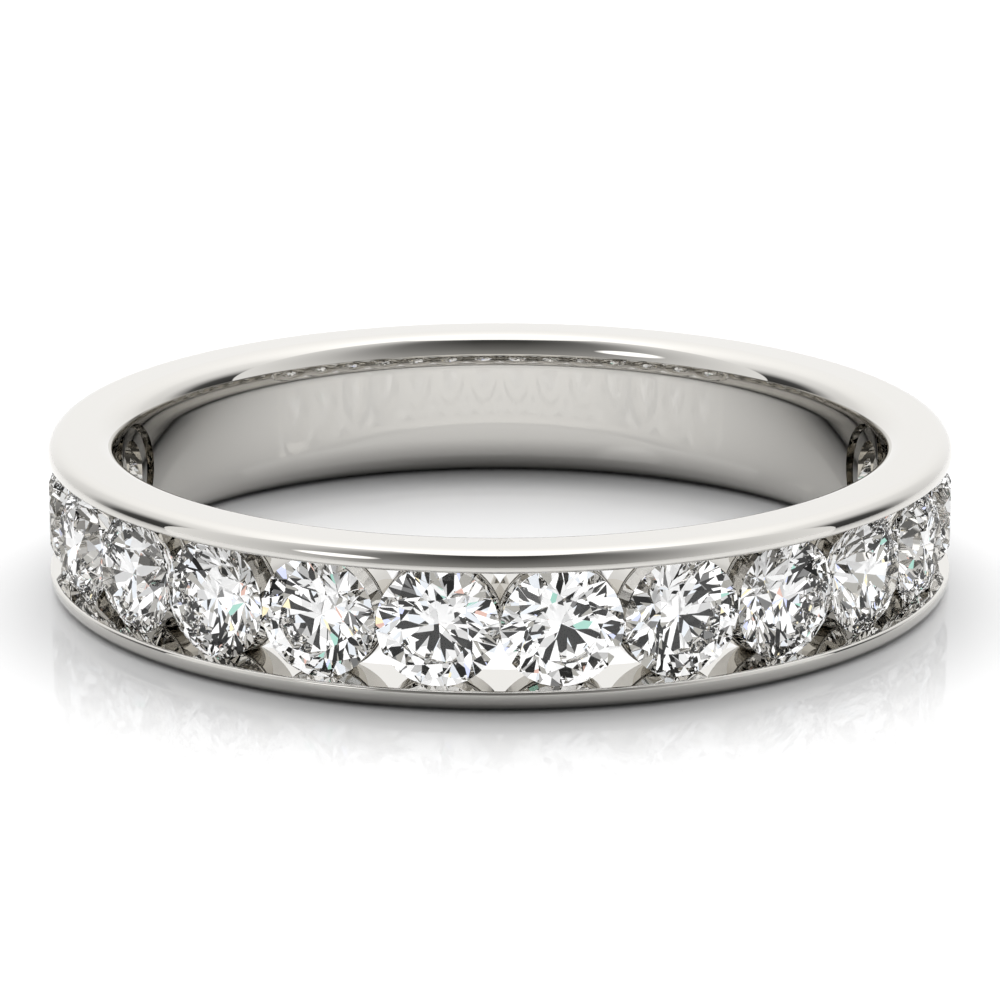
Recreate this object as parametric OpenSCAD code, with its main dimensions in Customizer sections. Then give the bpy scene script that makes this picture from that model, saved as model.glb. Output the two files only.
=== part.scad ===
// Channel-set diamond wedding ring, lying on its side. Millimetres, +Z up.
// The finger hole's axis is Z, the ring rests on z = 0, and the row of stones faces -Y.

/* [Band] */
// Inside diameter, where the finger goes (17.3 is US size 7)
inner_d = 17.3; // [17:0.1:18]
// Thickness of the band, from the finger to the outside
wall = 1.6; // [1.6:0.05:1.7]
// Height of the band, along the finger
band_h = 3.5; // [3.4:0.05:3.7]
// Radius of the rails' outer edges
outer_edge_r = 0.37; // [0.3:0.01:0.38]
// Radius of the inner edges
inner_edge_r = 0.55; // [0.5:0.05:0.6]
// Radius of the slow curve that leads each inner edge into the straight wall
comfort_r = 3.5; // [3:0.5:4]
// Angle that the slow curve turns through, in degrees
comfort_turn = 7; // [6:1:8]

/* [Channel] */
// Height of the slot between the two rails
channel_h = 2.56; // [2.54:0.01:2.56]
// Radius of the channel's outer edges
channel_edge_r = 0.08; // [0.06:0.01:0.09]
// How far the slot's round end lies past the last stone, in degrees
channel_end_turn = 2.9; // [2.5:0.1:3.2]

/* [Stones] */
// Number of stones in the row, an even number
stone_count = 14; // [10:2:16]
// Diameter of a stone
stone_d = 2.62; // [2.6:0.01:2.62]
// Gap between neighbouring stones
stone_gap = 0.01; // [0.01:0.01:0.05]
// Width of the table across its corners, as a share of the diameter
table_share = 0.57; // [0.55:0.01:0.59]
// Slope of the crown's main facets, in degrees
crown_angle = 34; // [33:0.5:34]
// Slope of the pavilion's main facets, in degrees
pavilion_angle = 40.6; // [39:0.2:40.6]
// Thickness of the girdle where it is thickest
girdle_t = 0.06; // [0.055:0.005:0.065]
// Length of the star facets, as a share of the way from the table to the girdle
star_share = 0.5; // [0.45:0.05:0.55]
// Length of the lower half facets, as a share of the way from the girdle to the culet
lower_half_share = 0.77; // [0.74:0.01:0.8]
// How far the table lies below the rails' outer face
table_sink = 0.02; // [0.01:0.01:0.03]
// Angle that each stone is turned by, counted from the stone before it
turn_step = 17; // [14:1:20]

/* [Settings] */
// Outer radius of the round collar that carries each stone
collar_r = 1.3; // [1.29:0.01:1.32]
// Distance from a stone's girdle down to the collar's rim
collar_drop = 0.57; // [0.54:0.01:0.6]
// Radius of the collar's outer edge
collar_edge_r = 0.05; // [0.04:0.01:0.06]
// Gap between a stone and its seat
seat_gap = 0.02; // [0.015:0.005:0.025]
// How much wider than the girdle the groove in the rails is, on each side of it
groove_room = 0.04; // [0.035:0.005:0.05]
// Radius of the hole under a stone
hole_r = 0.6; // [0.5:0.05:0.6]
// Length of the hole's straight part, measured down from the collar's rim
hole_h = 0.24; // [0.2:0.01:0.28]
// Radius of the wide window that the hole opens into at the finger's side
window_r = 1; // [0.8:0.05:1.02]

/* [Hidden] */
$fn = 96;

inner_r = inner_d / 2;
outer_r = inner_r + wall;
mid_z = band_h / 2;

// Girdle of a brilliant: 16 junctions, with one step of the outline between each pair
facet_turn = 22.5;
outline_step = facet_turn / 2;
stone_r = stone_d / 2;
half_girdle = girdle_t / 2;
table_r = stone_r * table_share;
crown_h = (stone_r - table_r) * tan(crown_angle);
pavilion_h = stone_r * tan(pavilion_angle);

// The star facets' tips, and the points that the lower half facets reach
table_flat_r = table_r * cos(facet_turn);
star_r = table_flat_r + star_share * (stone_r - table_flat_r);
star_z = half_girdle + (stone_r - star_r * cos(facet_turn)) * tan(crown_angle);
lower_r = stone_r * (1 - lower_half_share);
lower_z = -half_girdle - (stone_r - lower_r * cos(facet_turn)) * tan(pavilion_angle);

// Slopes of the half facets, straight out from the axis through the middle of a facet
upper_slope = (star_z - half_girdle) / ((stone_r - star_r) * cos(outline_step));
lower_slope = (-half_girdle - lower_z) / ((stone_r - lower_r) * cos(outline_step));

// Where the girdle's mid plane lies, measured from the ring's axis
girdle_place = outer_r - table_sink - crown_h - half_girdle;
stone_pitch = 2 * atan((stone_r + stone_gap / 2) / girdle_place);
row_half = stone_pitch * (stone_count - 1) / 2;
channel_half_turn = row_half + channel_end_turn;

// The cutter that leaves a seat: as steep as the ridges between the half facets
ridge_down = (-half_girdle - lower_z) / (stone_r - lower_r);
seat_r = stone_r + seat_gap;
rim_place = girdle_place - collar_drop;

// Radius of the seat cutter at its top, which lies above the collar's rim and inside the slot
cutter_r = 0.95;

// How far tools run past the surfaces they cut
over = 1;

function stone_name(i) = str("stone_", i < 10 ? "0" : "", i);
function stone_angle(i) = (i - (stone_count + 1) / 2) * stone_pitch;
function around(r, angle, z) = [r * cos(angle), r * sin(angle), z];

// Turns a shape whose axis is Z into one that points out of the ring, at an angle from the front
module at_angle(angle)
  translate([0, 0, mid_z])
    rotate([0, 0, angle])
      rotate([90, 0, 0])
        children();

// Cross-section of the band: x is the distance from the ring's axis, y runs along the finger
module band_section() {
  curve_x = inner_r + comfort_r;
  edge_x = curve_x - (comfort_r - inner_edge_r) * cos(comfort_turn);
  curve_y = mid_z - inner_edge_r - (comfort_r - inner_edge_r) * sin(comfort_turn);
  translate([edge_x, 0])
    square([outer_r - outer_edge_r - edge_x, band_h]);
  translate([edge_x, outer_edge_r])
    square([outer_r - edge_x, band_h - 2 * outer_edge_r]);
  translate([inner_r, mid_z - curve_y])
    square([edge_x - inner_r + over / 10, 2 * curve_y]);
  for (side = [-1, 1]) {
    translate([outer_r - outer_edge_r, mid_z + side * (mid_z - outer_edge_r)])
      circle(outer_edge_r);
    translate([edge_x, mid_z + side * (mid_z - inner_edge_r)])
      circle(inner_edge_r);
    intersection() {
      translate([curve_x, mid_z + side * curve_y])
        circle(comfort_r);
      polygon([
        [curve_x, mid_z + side * curve_y],
        [inner_r - over, mid_z + side * curve_y],
        [inner_r - over, mid_z + side * (curve_y + (comfort_r + over) * tan(comfort_turn))]
      ]);
      translate([inner_r - over, 0])
        square([edge_x - inner_r + over, band_h]);
    }
  }
}

// The soft flare that rounds one outer edge of the channel, for a wall at y = 0 above the slot
module edge_flare()
  difference() {
    translate([outer_r - channel_edge_r, -over / 10])
      square([channel_edge_r + over, channel_edge_r + over / 10]);
    translate([outer_r - channel_edge_r, channel_edge_r])
      circle(channel_edge_r);
  }

// The slot between the rails, with its round ends
module slot() {
  half = channel_h / 2;
  rotate([0, 0, -90 - channel_half_turn])
    rotate_extrude(angle = 2 * channel_half_turn)
      translate([0, mid_z]) {
        translate([inner_r - over, -half])
          square([wall + 2 * over, channel_h]);
        translate([0, half])
          edge_flare();
        mirror([0, 1])
          translate([0, half])
            edge_flare();
      }
  for (side = [-1, 1])
    at_angle(side * channel_half_turn)
      rotate_extrude()
        union() {
          translate([0, inner_r - over])
            square([half, wall + 2 * over]);
          translate([half, 0])
            mirror([1, -1])
              edge_flare();
        }
}

// The groove that a setter cuts along both rails, to hold the edges of the stones
module groove() {
  half_turn = row_half + 2;
  half_w = half_girdle + groove_room;
  rotate([0, 0, -90 - half_turn])
    rotate_extrude(angle = 2 * half_turn)
      translate([girdle_place - half_w, mid_z - seat_r])
        square([2 * half_w, 2 * seat_r]);
}

// The solid collar under one stone, before it is drilled
module collar()
  rotate_extrude() {
    translate([0, inner_r - 2 * over])
      square([collar_r - collar_edge_r, rim_place - inner_r + 2 * over]);
    translate([0, inner_r - 2 * over])
      square([collar_r, rim_place - inner_r + 2 * over - collar_edge_r]);
    translate([collar_r - collar_edge_r, rim_place - collar_edge_r])
      circle(collar_edge_r);
  }

// What a setter cuts away for one stone: its seat, the hole below it and the window behind
module stone_cutter() {
  hole_end = rim_place - hole_h;
  window_slope = (window_r - hole_r) / (hole_end - inner_r);
  translate([0, 0, girdle_place])
    rotate_extrude()
      polygon([
        [0, -half_girdle - seat_r * ridge_down],
        [cutter_r, -half_girdle - (seat_r - cutter_r) * ridge_down],
        [0, -half_girdle - (seat_r - cutter_r) * ridge_down]
      ]);
  translate([0, 0, hole_end - over / 10])
    cylinder(h = hole_h + over / 10, r = hole_r);
  translate([0, 0, inner_r - over])
    cylinder(
      h = hole_end - inner_r + over,
      r1 = window_r + over * window_slope,
      r2 = hole_r
    );
}

// The turned shank with every stone's seat, hole and window cut into it
module drilled_shank()
  difference() {
    rotate_extrude()
      band_section();
    for (i = [1:stone_count])
      at_angle(stone_angle(i))
        stone_cutter();
  }

// The metal that leaves the channel: all of the slot but the collars
module channel_waste()
  difference() {
    union() {
      slot();
      groove();
    }
    for (i = [1:stone_count])
      at_angle(stone_angle(i))
        collar();
  }

module band()
  color([0.80, 0.79, 0.77])
    difference() {
      drilled_shank();
      channel_waste();
    }

// Height of the girdle's edge halfway between two junctions, where the half facets dip into it
function upper_dip() = half_girdle - upper_slope * stone_r * (1 - cos(outline_step));
function lower_dip() = -half_girdle + lower_slope * stone_r * (1 - cos(outline_step));

// A round brilliant: a table, 8 stars, 8 kites and 16 upper halves above the girdle,
// 16 lower halves and 8 mains below it
module brilliant() {
  mains = 8;
  outline = 4 * mains;
  table = [for (k = [0:mains - 1])
    around(table_r, 2 * k * facet_turn, half_girdle + crown_h)];
  stars = [for (k = [0:mains - 1]) around(star_r, (2 * k + 1) * facet_turn, star_z)];
  girdle_top = [for (k = [0:outline - 1])
    around(stone_r, k * outline_step, k % 2 == 0 ? half_girdle : upper_dip())];
  girdle_low = [for (k = [0:outline - 1])
    around(stone_r, k * outline_step, k % 2 == 0 ? -half_girdle : lower_dip())];
  tips = [for (k = [0:mains - 1]) around(lower_r, (2 * k + 1) * facet_turn, lower_z)];
  culet = [[0, 0, -half_girdle - pavilion_h]];

  star_0 = mains;
  top_0 = star_0 + mains;
  low_0 = top_0 + outline;
  tip_0 = low_0 + outline;
  culet_0 = tip_0 + mains;

  polyhedron(
    points = concat(table, stars, girdle_top, girdle_low, tips, culet),
    faces = concat(
      [[for (k = [mains - 1:-1:0]) k]],
      [for (k = [0:mains - 1]) [k, (k + 1) % mains, star_0 + k]],
      [for (k = [0:mains - 1])
        [k, star_0 + k, top_0 + 4 * k, star_0 + (k + mains - 1) % mains]],
      [for (k = [0:mains - 1])
        [star_0 + k, top_0 + 4 * k + 2, top_0 + 4 * k + 1, top_0 + 4 * k]],
      [for (k = [0:mains - 1])
        [star_0 + k, top_0 + (4 * k + 4) % outline, top_0 + 4 * k + 3, top_0 + 4 * k + 2]],
      [for (k = [0:outline - 1])
        [top_0 + k, top_0 + (k + 1) % outline, low_0 + (k + 1) % outline, low_0 + k]],
      [for (k = [0:mains - 1])
        [tip_0 + k, low_0 + 4 * k, low_0 + 4 * k + 1, low_0 + 4 * k + 2]],
      [for (k = [0:mains - 1])
        [tip_0 + k, low_0 + 4 * k + 2, low_0 + 4 * k + 3, low_0 + (4 * k + 4) % outline]],
      [for (k = [0:mains - 1])
        [culet_0, tip_0 + (k + mains - 1) % mains, low_0 + 4 * k, tip_0 + k]]
    )
  );
}

module stone(i)
  color([0.88, 0.93, 0.96])
    at_angle(stone_angle(i))
      translate([0, 0, girdle_place])
        rotate([0, 0, i * turn_step])
          brilliant();

band();
for (i = [1:stone_count])
  stone(i);
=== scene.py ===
# %% [markdown]
# # A channel-set wedding ring, lying on its side
#
# The ring is a white gold band with fourteen round brilliants in a channel across its front half.
# Almost everything that makes such a picture work is in two places: surfaces that bend reflections
# cleanly, and a studio that gives a mirror and a cut stone something to show. So this lesson spends
# its time on the shape of the polished band, on the light tent around it, and on what a diamond shows.
# Everything is in metres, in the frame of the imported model: +Z up, the row of stones facing -Y.

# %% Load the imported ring
import math

import bmesh
import bpy
from mathutils import Matrix, Vector


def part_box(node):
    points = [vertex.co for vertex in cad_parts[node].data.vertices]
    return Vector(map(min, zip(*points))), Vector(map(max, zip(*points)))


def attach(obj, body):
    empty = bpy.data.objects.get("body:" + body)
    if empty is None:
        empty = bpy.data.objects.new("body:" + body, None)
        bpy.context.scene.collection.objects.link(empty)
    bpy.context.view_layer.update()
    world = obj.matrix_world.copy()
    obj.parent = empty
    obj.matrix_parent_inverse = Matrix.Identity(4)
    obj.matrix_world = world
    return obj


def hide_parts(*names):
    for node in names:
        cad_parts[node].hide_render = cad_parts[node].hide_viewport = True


MM = 0.001

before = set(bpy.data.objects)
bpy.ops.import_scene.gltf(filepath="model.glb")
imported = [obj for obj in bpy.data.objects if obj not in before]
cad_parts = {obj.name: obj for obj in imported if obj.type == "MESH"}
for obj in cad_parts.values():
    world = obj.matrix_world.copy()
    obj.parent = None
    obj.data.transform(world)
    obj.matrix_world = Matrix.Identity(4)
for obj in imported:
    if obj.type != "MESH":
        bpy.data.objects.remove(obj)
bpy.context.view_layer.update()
stone_names = sorted(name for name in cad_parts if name.startswith("stone"))
print("solids:", len(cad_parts), "of which stones:", len(stone_names))

# %% [markdown]
# ## Camera
# A ring of this size is photographed from far away with a long lens, which keeps its ellipse calm and
# both rails almost parallel. The camera stands about 110 mm off and about 16 degrees above the table,
# straight in front of the row, and looks at the middle of the finger hole.

# %% Camera
band_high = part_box("band")[1]

camera_rise = math.radians(15.72)
camera_distance = 109.4 * MM
ring_middle = Vector((0, 0, band_high.z / 2))

camera_data = bpy.data.cameras.new("product_camera")
camera_data.sensor_width = 36
camera_data.lens = 172.7
camera_data.clip_start = 1 * MM
camera_data.clip_end = 5
camera = bpy.data.objects.new("product_camera", camera_data)
towards_camera = Vector((0, -math.cos(camera_rise), math.sin(camera_rise)))
camera.location = ring_middle + camera_distance * towards_camera
camera.rotation_euler = (-towards_camera).to_track_quat("-Z", "Y").to_euler()
bpy.context.scene.collection.objects.link(camera)
bpy.context.scene.camera = camera
print("camera at", [round(v / MM, 1) for v in camera.location], "mm")

# %% [markdown]
# ## Rendering cut stones
# Light bounces many times inside a diamond before it finds a way out. Blender's usual limits cut such
# paths short, and the stones turn black, so the limits are raised for this scene. Caustics, the light
# that stones and polished metal throw on the table, are left out, because they wash out the soft shadow
# and settle slowly. Colours are shown without film tone mapping, because a catalogue picture wants its
# white to be plain white.

# %% Light paths and colour
scene = bpy.context.scene
scene.cycles.max_bounces = 24
scene.cycles.glossy_bounces = 16
scene.cycles.transmission_bounces = 16
scene.cycles.diffuse_bounces = 4
scene.cycles.sample_clamp_indirect = 8
scene.cycles.caustics_reflective = False
scene.cycles.caustics_refractive = False
scene.view_settings.view_transform = "Standard"
print("bounces through stones:", scene.cycles.transmission_bounces)

# %% [markdown]
# ## Short words for node trees
# Materials and lights here are small networks. Two helpers keep them readable: one adds a node and
# fills or links its inputs by name, the other does one step of arithmetic.

# %% Node helpers
def add_node(tree, kind, settings=None, **inputs):
    """Adds a shader node, sets its properties and its inputs, and returns it."""
    made = tree.nodes.new(kind)
    for name, value in (settings or {}).items():
        setattr(made, name, value)
    for name, value in inputs.items():
        socket = made.inputs[int(name[1:]) if name[0] == "_" else name.replace("_", " ")]
        if isinstance(value, bpy.types.NodeSocket):
            tree.links.new(value, socket)
        else:
            socket.default_value = value
    return made


def math_node(tree, operation, first, second=0.0):
    """A Math node's result."""
    return add_node(tree, "ShaderNodeMath", {"operation": operation}, _0=first, _1=second).outputs[0]


# %% [markdown]
# ## The light tent
# Jewellery is lit inside a tent, and a polished ring is a picture of that tent. Behind and above the
# ring there is a bright sweep. The photographer's side is dark, which draws the crisp grey lines along
# every rounded edge, and two pale panels stand left and right of the camera. A world shader can hold
# all of it. Each ray is asked how high it goes and how far round it has turned from the camera, and
# colour ramps answer with a brightness. Drawing the tent as angles keeps its borders as sharp as the
# edges of real panels.

# %% Light tent
tent_brightest = 2.0

world = bpy.data.worlds.new("light_tent")
world.use_nodes = True
bpy.context.scene.world = world
tent = world.node_tree
tent.nodes.clear()
direction = add_node(tent, "ShaderNodeTexCoord").outputs["Generated"]
split = add_node(tent, "ShaderNodeSeparateXYZ", Vector=direction)
sideways = math_node(tent, "ABSOLUTE", split.outputs["X"])
forwards = math_node(tent, "MULTIPLY", split.outputs["Y"], -1.0)
height = math_node(tent, "MULTIPLY", math_node(tent, "ARCSINE", split.outputs["Z"]), 2 / math.pi)
around = math_node(tent, "MULTIPLY", math_node(tent, "ARCTAN2", sideways, forwards), 2 / math.pi)
from_side = math_node(tent, "MULTIPLY", math_node(tent, "ARCCOSINE", sideways), 2 / math.pi)


def grey(level):
    """A brightness as a colour, in shares of the tent's brightest."""
    return (level / tent_brightest, level / tent_brightest, level / tent_brightest, 1)


def brightness(share, stops, blend="LINEAR"):
    """A colour ramp from (degrees, brightness) stops, over 90 degrees."""
    made = add_node(tent, "ShaderNodeValToRGB", Fac=share)
    made.color_ramp.interpolation = blend
    marks = made.color_ramp.elements
    marks.remove(marks[-1])
    for degrees, level in stops:
        mark = marks[0] if degrees == 0 else marks.new(degrees / 90)
        tint = level if isinstance(level, tuple) else (level, level, level)
        mark.color = (*[channel / tent_brightest for channel in tint], 1)
    return made.outputs["Color"]


def blend_of(share, first, second):
    """Mixes two colours by a share from 0 to 1."""
    mixed = add_node(tent, "ShaderNodeMix", {"data_type": "RGBA"}, _0=share, _6=first, _7=second)
    return mixed.outputs[2]


print("the tent's ramps go from 0 to", tent_brightest)

# %% [markdown]
# The photographer's side comes first. Dark cloth photographs a little warm, so its red, green and blue
# differ slightly. The two panels fade in with the turn away from the camera, and lean back a little.

# %% The photographer's side
dark_stops = [(0, 0.31), (9, 0.29), (18, 0.24), (27, 0.19), (41, 0.14), (50, 0.11), (62, 0.07)]
warm = (1.01, 1.0, 0.975)
dark_side = brightness(height, [(rise, tuple(share * level for share in warm)) for rise, level in dark_stops])

panel_lean = 0.19
panel_level = 1.07
panel_stops = [
    (0, 0),
    (15, 0.06),
    (27, 0.13),
    (33, 0.21),
    (39, 0.32),
    (45, 0.45),
    (51, 0.6),
    (57, 0.7),
    (69, 0.84),
    (84, 1),
]
panel_turn = math_node(tent, "SUBTRACT", around, math_node(tent, "MULTIPLY", height, panel_lean))
panel_share = brightness(panel_turn, [(turn, share * tent_brightest) for turn, share in panel_stops])
camera_side = blend_of(panel_share, dark_side, grey(panel_level))
print("dark side:", dark_stops[-1][1], "to", dark_stops[0][1], "panels:", panel_level)

# %% [markdown]
# Behind the ring the sweep grows brighter towards the roof, and darkens towards the left and right,
# where it ends. One ramp holds the first, another the second, and their product is the sweep.

# %% The sweep and the roof
sweep_stops = [
    (0, 1.13),
    (9, 1.17),
    (18, 1.22),
    (27, 1.28),
    (43, 1.37),
    (53, 1.44),
    (63, 1.54),
    (70, 1.7),
]
side_stops = [
    (0, 0.04),
    (16, 0.06),
    (20, 0.1),
    (24, 0.32),
    (28, 0.5),
    (31, 0.66),
    (36, 0.8),
    (47, 0.86),
    (56, 0.97),
    (66, 1),
]
roof_start = 76
roof_level = 1.65
sweep = brightness(height, sweep_stops)
side_share = brightness(from_side, [(turn, share * tent_brightest) for turn, share in side_stops])
product = {"data_type": "RGBA", "blend_type": "MULTIPLY"}
back_side = add_node(tent, "ShaderNodeMix", product, _0=1.0, _6=sweep, _7=side_share).outputs[2]
behind = math_node(tent, "GREATER_THAN", split.outputs["Y"], 0.0)
walls = blend_of(behind, camera_side, back_side)
roof = math_node(tent, "GREATER_THAN", height, roof_start / 90)
tent_colour = blend_of(roof, walls, grey(roof_level))
print("sweep:", sweep_stops[0][1], "to", sweep_stops[-1][1], "roof:", roof_level)

# %% [markdown]
# ## One lamp on the left
# A small soft lamp beside the camera puts a single bright streak on the upper edge of the rail and its
# twin on the inner edge across the ring. Without it the two sides would be mirror images, which looks
# drawn.

# %% Small lamp
lamp_around, lamp_height = math.radians(-43), math.radians(27)
lamp_reach, lamp_core = math.radians(11), math.radians(8)
lamp_colour = (0.95, 0.95, 0.95, 1)
lamp_direction = (
    math.cos(lamp_height) * math.sin(lamp_around),
    -math.cos(lamp_height) * math.cos(lamp_around),
    math.sin(lamp_height),
)


def nearness(target):
    """How closely a ray points at a target: the cosine of the angle between them."""
    dot = add_node(tent, "ShaderNodeVectorMath", {"operation": "DOT_PRODUCT"}, _0=direction, _1=target)
    return dot.outputs["Value"]


lamp_share = add_node(
    tent,
    "ShaderNodeMapRange",
    Value=nearness(lamp_direction),
    From_Min=math.cos(lamp_reach),
    From_Max=math.cos(lamp_core),
)
tent_with_lamp = blend_of(lamp_share.outputs[0], tent_colour, lamp_colour)
sky = add_node(tent, "ShaderNodeBackground", Color=tent_with_lamp, Strength=tent_brightest)
print("lamp towards", [round(v, 2) for v in lamp_direction])

# %% [markdown]
# ## What the stones see
# A cut stone is a kaleidoscope. Each of its facets shows one small piece of the room, so it needs a
# bright room with a few dark things in it: here the photographer, and a scatter of small cards. A few
# cards are tinted, for the sparks of yellow, rose, green and blue that a diamond splits out of white
# light. Only rays that have passed through a stone see this room, so the metal keeps its own tent.

# %% Room for the stones
camera_cone = math.radians(19)
camera_colour = (0.01, 0.01, 0.01, 1)
card_size = 9.0
stone_stops = [
    (0, 1.2),
    (34, (0.86, 0.9, 0.95)),
    (48, 0.66),
    (58, (0.43, 0.42, 0.39)),
    (68, 0.2),
    (75, 0.03),
    (80, (1.1, 0.98, 0.66)),
    (81.5, (0.85, 0.56, 0.48)),
    (83, (0.42, 0.74, 0.64)),
    (84.5, (0.78, 0.83, 1.15)),
    (86.5, 1.2),
]
cards = add_node(tent, "ShaderNodeTexVoronoi", Vector=direction, Scale=card_size)
card_number = add_node(tent, "ShaderNodeSeparateColor", Color=cards.outputs["Color"]).outputs[0]
card_colour = brightness(card_number, stone_stops, "CONSTANT")
photographer = math_node(tent, "GREATER_THAN", nearness(tuple(towards_camera)), math.cos(camera_cone))
room = blend_of(photographer, card_colour, camera_colour)
stone_light = add_node(tent, "ShaderNodeBackground", Color=room, Strength=tent_brightest)
print("kinds of cards:", len(stone_stops))

# %% [markdown]
# ## Light on the table
# The table is lit by a white dome of its own, strong behind the ring and weak in front, which lays the
# ring's soft shadow towards the camera. The light path says which kind of ray is asking, and picks one
# of the three worlds.

# %% Three worlds in one
dome_strength = 2.5
dome_front = 0.13
dome_blend = 0.15
dome_share = add_node(
    tent,
    "ShaderNodeMapRange",
    Value=split.outputs["Y"],
    From_Min=-dome_blend,
    From_Max=dome_blend,
    To_Min=dome_front,
    To_Max=1.0,
)
dome = add_node(tent, "ShaderNodeBackground", Color=dome_share.outputs[0], Strength=dome_strength)
path = add_node(tent, "ShaderNodeLightPath").outputs
for_metal = add_node(
    tent, "ShaderNodeMixShader", _0=path["Is Glossy Ray"], _1=dome.outputs[0], _2=sky.outputs[0]
)
for_stones = add_node(
    tent,
    "ShaderNodeMixShader",
    _0=path["Is Transmission Ray"],
    _1=for_metal.outputs[0],
    _2=stone_light.outputs[0],
)
add_node(tent, "ShaderNodeOutputWorld", Surface=for_stones.outputs[0])
print("nodes in the world:", len(tent.nodes))

# %% [markdown]
# ## The table
# The ring lies on a white sweep of gloss board. It must come out plain white in the picture, yet still
# take the soft shadow round the ring and a faint reflection of it.

# %% Table
def new_mesh_object(name, bm):
    """Turns a bmesh into a linked object."""
    data = bpy.data.meshes.new(name)
    bm.to_mesh(data)
    bm.free()
    made = bpy.data.objects.new(name, data)
    bpy.context.scene.collection.objects.link(made)
    return made


def new_material(name):
    """An empty node material and its tree."""
    made = bpy.data.materials.new(name)
    made.use_nodes = True
    made.node_tree.nodes.clear()
    return made, made.node_tree


table_size = 1.2
table_drop = 0.002 * MM
plane = bmesh.new()
bmesh.ops.create_grid(plane, x_segments=1, y_segments=1, size=table_size / 2)
bmesh.ops.translate(plane, verts=plane.verts, vec=(0, 0, -table_drop))
table = new_mesh_object("table", plane)

board, board_tree = new_material("gloss_board")
board_skin = add_node(
    board_tree,
    "ShaderNodeBsdfPrincipled",
    Base_Color=(0.9, 0.9, 0.9, 1),
    Roughness=0.005,
)
board_skin.inputs["Specular IOR Level"].default_value = 0.08
add_node(board_tree, "ShaderNodeOutputMaterial", Surface=board_skin.outputs[0])
table.data.materials.append(board)
print("table:", table_size, "m across")

# %% [markdown]
# ## White gold
# The band is rhodium plated white gold with a mirror polish: slightly warm, slightly darker than
# silver. A perfect mirror looks like a drawing, so the polish gets the two faults that every real one
# has, a faint orange peel left by the wheel and very fine hairlines from handling.

# %% White gold
white_gold, gold_tree = new_material("white_gold")
place = add_node(gold_tree, "ShaderNodeTexCoord").outputs["Object"]
peel = add_node(gold_tree, "ShaderNodeTexNoise", Vector=place, Scale=900.0, Detail=2.0, Roughness=0.5)
stretched = add_node(gold_tree, "ShaderNodeMapping", Vector=place, Scale=(1.0, 1.0, 14.0))
hairlines = add_node(
    gold_tree,
    "ShaderNodeTexNoise",
    Vector=stretched.outputs[0],
    Scale=2500.0,
    Detail=4.0,
    Roughness=0.7,
)
polish = add_node(
    gold_tree,
    "ShaderNodeMapRange",
    Value=hairlines.outputs["Fac"],
    From_Min=0.3,
    From_Max=0.75,
    To_Min=0.012,
    To_Max=0.03,
)
ripple = add_node(
    gold_tree, "ShaderNodeBump", Strength=0.05, Distance=0.002 * MM, Height=peel.outputs["Fac"]
)
gold_skin = add_node(
    gold_tree,
    "ShaderNodeBsdfPrincipled",
    Base_Color=(0.645, 0.630, 0.600, 1),
    Metallic=1.0,
    Roughness=polish.outputs[0],
    Normal=ripple.outputs[0],
)
add_node(gold_tree, "ShaderNodeOutputMaterial", Surface=gold_skin.outputs[0])
print("nodes in the white gold:", len(gold_tree.nodes))

# %% [markdown]
# ## The band's outline
# A jeweller turns the shank first. Its section has two straight rails outside, softly rounded edges
# inside for comfort, and a straight wall between them. An outline drawn once and turned round the
# finger's axis gives every surface of the shank at once.

# %% Section of the shank
inner_radius = 8.65
outer_radius = band_high.x / MM
mid_height = band_high.z / MM / 2
outer_edge = 0.37
inner_edge = 0.55
comfort_radius = 3.5
comfort_turn = 7
shank_steps = 720


def arc(centre, radius, start, end, steps):
    """Points along an arc in the section, from one angle in degrees to another."""
    points = []
    for k in range(steps + 1):
        angle = math.radians(start + (end - start) * k / steps)
        points.append((centre[0] + radius * math.cos(angle), centre[1] + radius * math.sin(angle)))
    return points


def shank_outline():
    """The section's corners as (distance from the axis, height), from the finger side out and back."""
    slip = comfort_radius - inner_edge
    turn = math.radians(comfort_turn)
    edge_centre = (inner_radius + comfort_radius - slip * math.cos(turn), mid_height - inner_edge)
    slow_centre = (inner_radius + comfort_radius, edge_centre[1] - slip * math.sin(turn))
    outer_centre = (outer_radius - outer_edge, mid_height - outer_edge)
    upper = arc(slow_centre, comfort_radius, 180, 180 - comfort_turn, 5)[:-1]
    upper += arc(edge_centre, inner_edge, 180 - comfort_turn, 90, 16)
    upper += arc(outer_centre, outer_edge, 90, 0, 14)
    lower = [(radius, -height) for radius, height in reversed(upper)]
    return [(radius, height + mid_height) for radius, height in upper + lower]


print("corners in the section:", len(shank_outline()))

# %% [markdown]
# ## Turning on a lathe, in code
# The same helper turns the shank, the collars and the cutters. Outlines that touch the axis become
# closed like a top, and the others become rings.

# %% Turning helper
def turned(outline, steps, name):
    """A closed mesh made by turning an outline of (radius, height) points round Z."""
    bm = bmesh.new()
    rings = []
    for radius, height in outline:
        if radius < 1e-9:
            rings.append([bm.verts.new((0, 0, height))])
            continue
        ring = []
        for k in range(steps):
            angle = 2 * math.pi * k / steps
            ring.append(bm.verts.new((radius * math.cos(angle), radius * math.sin(angle), height)))
        rings.append(ring)
    closed = len(rings[0]) > 1
    pairs = list(zip(rings, rings[1:])) + ([(rings[-1], rings[0])] if closed else [])
    for one, two in pairs:
        for k in range(steps):
            corners = [one[k % len(one)], one[(k + 1) % len(one)]]
            corners += [two[(k + 1) % len(two)], two[k % len(two)]]
            bm.faces.new(list(dict.fromkeys(corners)))
    bmesh.ops.recalc_face_normals(bm, faces=bm.faces)
    return new_mesh_object(name, bm)


shank = turned(shank_outline(), shank_steps, "shank")
print("shank faces:", len(shank.data.polygons))

# %% [markdown]
# ## Where the stones are
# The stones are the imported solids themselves, and they stay where they are. The angle at which each
# one stands is measured here, so that everything cut for a stone lands exactly under it.

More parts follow.
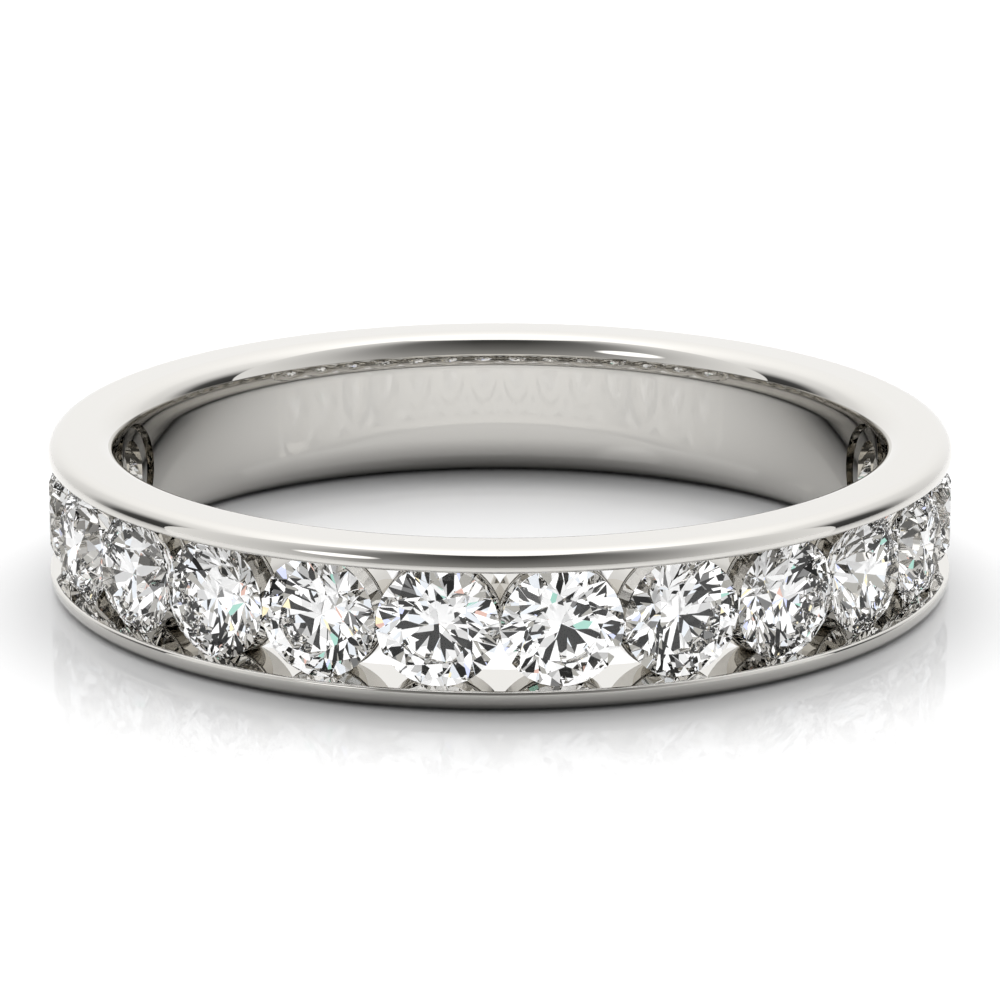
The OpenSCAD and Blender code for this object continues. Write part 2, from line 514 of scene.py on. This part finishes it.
# %% Where the stones are
def stone_turn(name):
    """The angle of a stone from the middle of the row, measured from its solid."""
    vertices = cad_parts[name].data.vertices
    middle = sum((v.co for v in vertices), Vector()) / len(vertices)
    return math.atan2(middle.x, -middle.y)


stone_turns = [stone_turn(name) for name in stone_names]
print("pitch of the stones:", round(math.degrees(stone_turns[1] - stone_turns[0]), 3), "degrees")

# %% [markdown]
# ## The channel
# The stones sit in a slot that is milled right through the band, with round ends. The cutter is a
# stack of racetrack outlines, one for each depth: straight along the finger side, and flaring out
# where the channel's edge is rounded over. Building it level by level avoids a fragile join between
# a bent bar and two round ends.

# %% Channel cutter
channel_half = 2.56 / 2
channel_edge = 0.08
channel_half_turn = max(stone_turns) + math.radians(2.9)
reach = 1


def racetrack(depth, half):
    """The upper half of the channel's outline, left to right, at a distance from the ring's axis."""
    row_steps = 480
    end_steps = 24
    points = []
    for side in (-1, 1):
        out = Vector((side * math.sin(channel_half_turn), -math.cos(channel_half_turn), 0))
        along = Vector((-out.y, out.x, 0))
        end = []
        for k in range(end_steps + 1):
            swing = math.pi / 2 * k / end_steps
            across = half * math.sin(swing) * side * along
            end.append(depth * out + across + Vector((0, 0, half * math.cos(swing))))
        points.append(end)
    left, right = points
    row = []
    for k in range(1, row_steps):
        angle = channel_half_turn * (2 * k / row_steps - 1)
        row.append(Vector((depth * math.sin(angle), -depth * math.cos(angle), half)))
    return left[::-1] + row + right


def channel_cutter():
    """The solid that the mill takes out of the shank."""
    flare_centre = (outer_radius - channel_edge, channel_half + channel_edge)
    levels = [(inner_radius - reach, channel_half)]
    levels += arc(flare_centre, channel_edge, 270, 360, 8)
    levels.append((outer_radius + reach, channel_half + channel_edge))
    bm = bmesh.new()
    loops = []
    for depth, half in levels:
        upper = [bm.verts.new(p) for p in racetrack(depth, half)]
        lower = [bm.verts.new((v.co.x, v.co.y, -v.co.z)) for v in upper[1:-1]]
        loops.append((upper, [upper[0]] + lower + [upper[-1]]))
    for (upper, lower), (next_upper, next_lower) in zip(loops, loops[1:]):
        for here, there in ((upper, next_upper), (lower, next_lower)):
            for k in range(len(here) - 1):
                bm.faces.new([here[k], here[k + 1], there[k + 1], there[k]])
    for upper, lower in (loops[0], loops[-1]):
        for k in range(len(upper) - 1):
            bm.faces.new(list(dict.fromkeys([upper[k], upper[k + 1], lower[k + 1], lower[k]])))
    bmesh.ops.recalc_face_normals(bm, faces=bm.faces)
    bmesh.ops.translate(bm, verts=bm.verts, vec=(0, 0, mid_height))
    return new_mesh_object("channel_cutter", bm)


cutter = channel_cutter()
print("channel cutter faces:", len(cutter.data.polygons))

# %% [markdown]
# ## Collars, seats, holes and windows
# Each stone rides on a round collar that stands in the channel. A setter opens the collar with burs: a
# cone for the seat of the pavilion, a small hole under the stone's point, and a wide straight window
# at the finger's side that lets light and water through. All of these are turned shapes, so they
# share the lathe helper and a matrix that points its axis out of the ring.

# %% Burs and collars
stone_radius = 2.62 / 2
crown_slope = math.tan(math.radians(34))
pavilion_slope = math.tan(math.radians(40.6))
half_girdle = 0.03
table_radius = 0.57 * stone_radius
table_sink = 0.02
crown_height = (stone_radius - table_radius) * crown_slope
girdle_place = outer_radius - table_sink - crown_height - half_girdle

seat_gap = 0.02
seat_radius = stone_radius + seat_gap
tip_radius = 0.23 * stone_radius
half_facet = math.cos(math.radians(22.5))
seat_slope = (stone_radius - tip_radius * half_facet) * pavilion_slope / (stone_radius - tip_radius)
bur_radius = 0.95

collar_radius = 1.3
collar_edge = 0.05
rim_place = girdle_place - 0.57
hole_radius = 0.6
hole_end = rim_place - 0.24
window_radius = 1.0


def facing(angle):
    """Turns a shape whose axis is Z so that it points out of the ring, at an angle from the front."""
    outwards = Matrix.Rotation(angle, 4, "Z") @ Matrix.Rotation(math.pi / 2, 4, "X")
    return Matrix.Translation((0, 0, mid_height)) @ outwards


def set_around(outline, steps, name):
    """One turned shape for each stone of the row."""
    made = []
    for k, angle in enumerate(stone_turns):
        shape = turned(outline, steps, f"{name}_{k}")
        shape.data.transform(facing(angle))
        made.append(shape)
    return made


collar_outline = [(0, inner_radius - 2 * reach), (collar_radius, inner_radius - 2 * reach)]
collar_outline += arc((collar_radius - collar_edge, rim_place - collar_edge), collar_edge, 0, 90, 6)
collar_outline.append((0, rim_place))
seat_start = girdle_place - half_girdle - (seat_radius - hole_radius) * seat_slope
bur_end = girdle_place - half_girdle - (seat_radius - bur_radius) * seat_slope
bur_outline = [
    (0, inner_radius - reach),
    (window_radius, inner_radius - reach),
    (window_radius, hole_end),
    (hole_radius, hole_end),
    (hole_radius, seat_start),
    (bur_radius, bur_end),
    (0, bur_end),
]
collars = set_around(collar_outline, 144, "collar")
burs = set_around(bur_outline, 128, "bur")
print("rim of the collars at", round(rim_place, 3), "mm from the axis")

# %% [markdown]
# ## Notches that hold the stones
# A channel has no claws. Just under the edge of each rail the setter cuts a small notch for every
# stone, and the thin edge of the stone, its girdle, sits in it. The cutter is a set of short bars, each
# bent round the finger's axis and a little wider than the slot, so that one bar cuts both rails.

# %% Notch cutter
notch_turn = math.radians(2)
notch_room = 0.04


def notch_cutter(half_turn, half_thickness, half_width, steps=12):
    """Short bent bars in one mesh, one across the channel at each stone."""
    bm = bmesh.new()
    for middle in stone_turns:
        sections = []
        for k in range(steps + 1):
            angle = middle + half_turn * (2 * k / steps - 1)
            section = []
            for side, rise in ((-1, -1), (1, -1), (1, 1), (-1, 1)):
                radius = girdle_place + side * half_thickness
                spot = (radius * math.sin(angle), -radius * math.cos(angle), mid_height + rise * half_width)
                section.append(bm.verts.new(spot))
            sections.append(section)
        for here, there in zip(sections, sections[1:]):
            for k in range(4):
                bm.faces.new([here[k], here[(k + 1) % 4], there[(k + 1) % 4], there[k]])
        bm.faces.new(sections[0])
        bm.faces.new(sections[-1])
    bmesh.ops.recalc_face_normals(bm, faces=bm.faces)
    return new_mesh_object("notch_cutter", bm)


notches = notch_cutter(notch_turn, half_girdle + notch_room, seat_radius)
print("notches:", round(seat_radius - channel_half, 3), "mm deep in each rail")

# %% [markdown]
# ## Cutting
# Boolean modifiers do the milling. The order is the goldsmith's: the collars are first saved from the
# mill, by taking them out of the cutter, then the mill runs once and the notches are cut, then fourteen
# burs go in. Stacking the modifiers and reading the result once is much faster than applying them one
# at a time.

# %% Cutting
def carve(target, tools):
    """Takes the tools away from the target, and removes them."""
    for tool in tools:
        cut = target.modifiers.new("cut", "BOOLEAN")
        cut.operation = "DIFFERENCE"
        cut.solver = "MANIFOLD"
        cut.object = tool
    graph = bpy.context.evaluated_depsgraph_get()
    carved = bpy.data.meshes.new_from_object(target.evaluated_get(graph))
    target.modifiers.clear()
    target.data = carved
    for tool in tools:
        bpy.data.objects.remove(tool)


carve(cutter, collars)
carve(shank, [cutter, notches])
carve(shank, burs)
print("faces of the cut band:", len(shank.data.polygons))

# %% [markdown]
# ## Clean reflections
# Cutting leaves slivers beside long smooth faces. If they had an equal say in the shading, every
# reflection would pinch at the channel's edge. So corners sharper than 30 degrees stay sharp, and
# elsewhere large faces outvote small ones, which is what the Weighted Normal modifier does.

# %% Polished band
shank.data.shade_smooth()
shank.data.set_sharp_from_angle(angle=math.radians(30))
weighting = shank.modifiers.new("large_faces_first", "WEIGHTED_NORMAL")
weighting.mode = "FACE_AREA"
weighting.keep_sharp = True
graph = bpy.context.evaluated_depsgraph_get()
shank.data = bpy.data.meshes.new_from_object(shank.evaluated_get(graph))
shank.modifiers.clear()
shank.data.transform(Matrix.Scale(MM, 4))
shank.name = "polished_band"
shank.data.name = "polished_band"
shank.data.materials.clear()
shank.data.materials.append(white_gold)
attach(shank, "root")
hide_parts("band")
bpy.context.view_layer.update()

# %% [markdown]
# ## Diamond
# A diamond bends light so strongly, with an index of 2.42, that most light meets its back facets too
# flat to leave, and turns round inside. That is total reflection, and it is why a well cut stone looks
# bright. Here a refraction shader and a mirror share the work, and the Fresnel node, which knows how
# much a surface reflects at each angle, decides between them. Inside the stone it is all or nothing:
# where a ray can leave it leaves, and elsewhere it is mirrored, so every facet keeps one clean tone.
# Outside, the face of the stone mirrors only a little of the tent, about a third of what a bare
# diamond would, as it does behind a polarising filter, and its dark facets stay deep.

# %% Diamond
diamond_index = 2.42
surface_shine = 0.35
total_reflection = 0.98
clear = (1, 1, 1, 1)

diamond, diamond_tree = new_material("diamond")
way_through = add_node(
    diamond_tree, "ShaderNodeBsdfRefraction", Color=clear, Roughness=0.0, IOR=diamond_index
)
mirror = add_node(diamond_tree, "ShaderNodeBsdfGlossy", Color=clear, Roughness=0.0)
reflected = add_node(diamond_tree, "ShaderNodeFresnel", IOR=diamond_index).outputs[0]
inside = add_node(diamond_tree, "ShaderNodeNewGeometry").outputs["Backfacing"]
on_the_outside = math_node(diamond_tree, "MULTIPLY", reflected, surface_shine)
on_the_inside = math_node(diamond_tree, "GREATER_THAN", reflected, total_reflection)
mirror_share = add_node(diamond_tree, "ShaderNodeMix", _0=inside, _2=on_the_outside, _3=on_the_inside)
gem_skin = add_node(
    diamond_tree,
    "ShaderNodeMixShader",
    _0=mirror_share.outputs[0],
    _1=way_through.outputs[0],
    _2=mirror.outputs[0],
)
add_node(diamond_tree, "ShaderNodeOutputMaterial", Surface=gem_skin.outputs[0])

for name in stone_names:
    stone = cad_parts[name]
    stone.data.materials.clear()
    stone.data.materials.append(diamond)
first_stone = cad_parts[stone_names[0]].data
print("faces of a stone:", len(first_stone.polygons))
